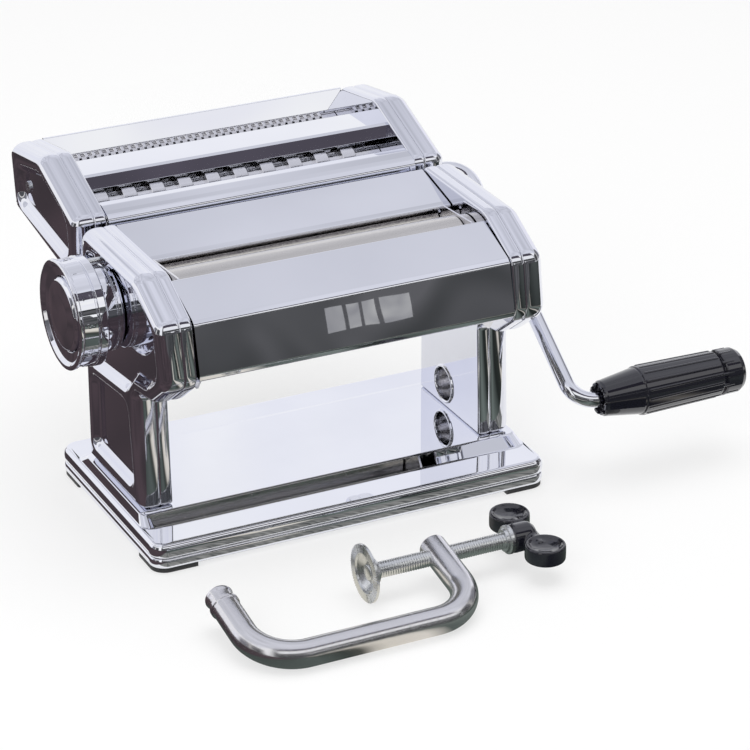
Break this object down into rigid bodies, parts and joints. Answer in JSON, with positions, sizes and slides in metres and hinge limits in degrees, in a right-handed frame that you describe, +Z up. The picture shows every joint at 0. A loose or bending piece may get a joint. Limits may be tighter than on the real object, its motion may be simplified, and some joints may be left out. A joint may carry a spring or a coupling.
{
  "type": "pasta roller machine",
  "caption": "Hand-cranked dough sheeting machine with a gap knob, a lift-off ribbon cutter head and a separate screw clamp for a table edge.",
  "frame": {"origin": "centre of the base plate, level with the lower edge of its rim; the feet reach below it", "axes": "+X towards the crank side, +Y towards the cutter head at the back, +Z up"},
  "size_m": [0.3315, 0.2989, 0.1561],
  "materials": {
    "base_chrome": "mirror",
    "chrome": "mirror",
    "black_rubber": "matt",
    "zinc": "satin zinc",
    "nylon": "matt",
    "roller_metal": "satin",
    "cutter_metal": "satin",
    "gear_steel": "machined",
    "plated_steel": "bright plated",
    "black_plastic": "gloss"
  },
  "bodies": {
    "stand": {"base_plate": "base_chrome", "base_feet": "black_rubber", "leg_screws": "zinc", "left_inner_plate": "chrome", "right_inner_plate": "chrome", "left_outer_cover": "chrome", "right_outer_cover": "chrome", "front_cover": "chrome", "rear_cover": "chrome", "pasta_guides": "chrome", "head_tie_rods": "zinc", "roller_bushes": "nylon", "roller_scrapers": "nylon", "carrier_guides": "zinc", "cutter_rails": "chrome", "knob_index_pin": "zinc"},
    "roller_carriage": {"left_carrier": "zinc", "right_carrier": "zinc"},
    "front_roller": {"front_roller": "roller_metal", "front_roller_gear": "gear_steel"},
    "rear_roller": {"rear_roller": "roller_metal", "rear_roller_gear": "gear_steel"},
    "adjuster": {"adjuster_shaft": "zinc", "adjuster_cam": "gear_steel"},
    "knob": {"adjuster_knob": "chrome", "knob_cap": "chrome"},
    "cutter_head": {"cutter_left_plate": "chrome", "cutter_right_plate": "chrome", "cutter_left_cover": "chrome", "cutter_right_cover": "chrome", "cutter_front_bar": "chrome", "cutter_middle_guide": "chrome", "cutter_rear_guide": "chrome", "cutter_tie_rods": "zinc", "cutter_bushes": "nylon", "cutter_rivets": "zinc", "cutter_hooks": "zinc", "wide_comb": "nylon", "fine_comb": "nylon"},
    "wide_drive": {"wide_drive_cutter": "cutter_metal", "wide_drive_gear": "gear_steel"},
    "wide_driven": {"wide_driven_cutter": "cutter_metal", "wide_driven_gear": "gear_steel"},
    "fine_drive": {"fine_drive_cutter": "cutter_metal", "fine_drive_gear": "gear_steel"},
    "fine_driven": {"fine_driven_cutter": "cutter_metal", "fine_driven_gear": "gear_steel"},
    "crank": {"crank_rod": "plated_steel"},
    "grip": {"crank_grip": "black_plastic", "crank_grip_cap": "black_plastic"},
    "clamp_frame": {"clamp_frame": "plated_steel"},
    "clamp_pad": {"clamp_pad": "zinc"},
    "clamp_screw": {"clamp_screw": "zinc", "clamp_collar": "zinc", "clamp_wing": "black_plastic"}
  },
  "joints": [
    {"name": "knob_turn", "type": "hinge", "parent": "stand", "child": "adjuster", "pos_m": [-0.095, 0.0055, 0.1075], "axis": [-1, 0, 0], "range_deg": [0, 270]},
    {"name": "knob_pull", "type": "slide", "parent": "adjuster", "child": "knob", "axis": [-1, 0, 0], "range_m": [0, 0.003], "stiffness_N_per_m": 1500},
    {"name": "roller_gap", "type": "slide", "parent": "stand", "child": "roller_carriage", "axis": [0, -1, 0], "range_m": [0, 0.0042]},
    {"name": "front_roller_turn", "type": "hinge", "parent": "roller_carriage", "child": "front_roller", "pos_m": [0, -0.018, 0.1142], "axis": [1, 0, 0], "continuous": true},
    {"name": "rear_roller_turn", "type": "hinge", "parent": "stand", "child": "rear_roller", "pos_m": [0, 0.0138, 0.1142], "axis": [1, 0, 0], "continuous": true},
    {"name": "cutter_lift", "type": "slide", "parent": "stand", "child": "cutter_head", "axis": [0, 0, 1], "range_m": [0, 0.045]},
    {"name": "wide_cutter_turn", "type": "hinge", "parent": "cutter_head", "child": "wide_drive", "pos_m": [0, 0.0565, 0.122], "axis": [1, 0, 0], "continuous": true},
    {"name": "wide_driven_turn", "type": "hinge", "parent": "cutter_head", "child": "wide_driven", "pos_m": [0, 0.0753, 0.122], "axis": [1, 0, 0], "continuous": true},
    {"name": "fine_cutter_turn", "type": "hinge", "parent": "cutter_head", "child": "fine_drive", "pos_m": [0, 0.0975, 0.126], "axis": [1, 0, 0], "continuous": true},
    {"name": "fine_driven_turn", "type": "hinge", "parent": "cutter_head", "child": "fine_driven", "pos_m": [0, 0.1137, 0.126], "axis": [1, 0, 0], "continuous": true},
    {"name": "crank_pull", "type": "slide", "parent": "wide_drive", "child": "crank", "axis": [1, 0, 0], "range_m": [0, 0.03]},
    {"name": "grip_turn", "type": "hinge", "parent": "crank", "child": "grip", "pos_m": [0.13, -0.06175, 0.03982], "axis": [1, 0, 0], "continuous": true},
    {"name": "clamp_lift", "type": "slide", "parent": "stand", "child": "clamp_frame", "axis": [0, 0, 1], "range_m": [0, 0.06]},
    {"name": "clamp_pad_travel", "type": "slide", "parent": "clamp_frame", "child": "clamp_pad", "axis": [-1, 0, 0], "range_m": [-0.02, 0.02]},
    {"name": "clamp_screw_turn", "type": "hinge", "parent": "clamp_pad", "child": "clamp_screw", "pos_m": [0.012, -0.12372, 0.01173], "axis": [-1, 0, 0], "range_deg": [-5760, 5760]}
  ],
  "couplings": [
    {"joint": "roller_gap", "follows": "knob_turn", "m_per_rad": 0.00089127},
    {"joint": "front_roller_turn", "follows": "rear_roller_turn", "ratio": -1},
    {"joint": "wide_driven_turn", "follows": "wide_cutter_turn", "ratio": -1},
    {"joint": "fine_driven_turn", "follows": "fine_cutter_turn", "ratio": -1},
    {"joint": "clamp_screw_turn", "follows": "clamp_pad_travel", "rad_per_m": 5026.5}
  ]
}
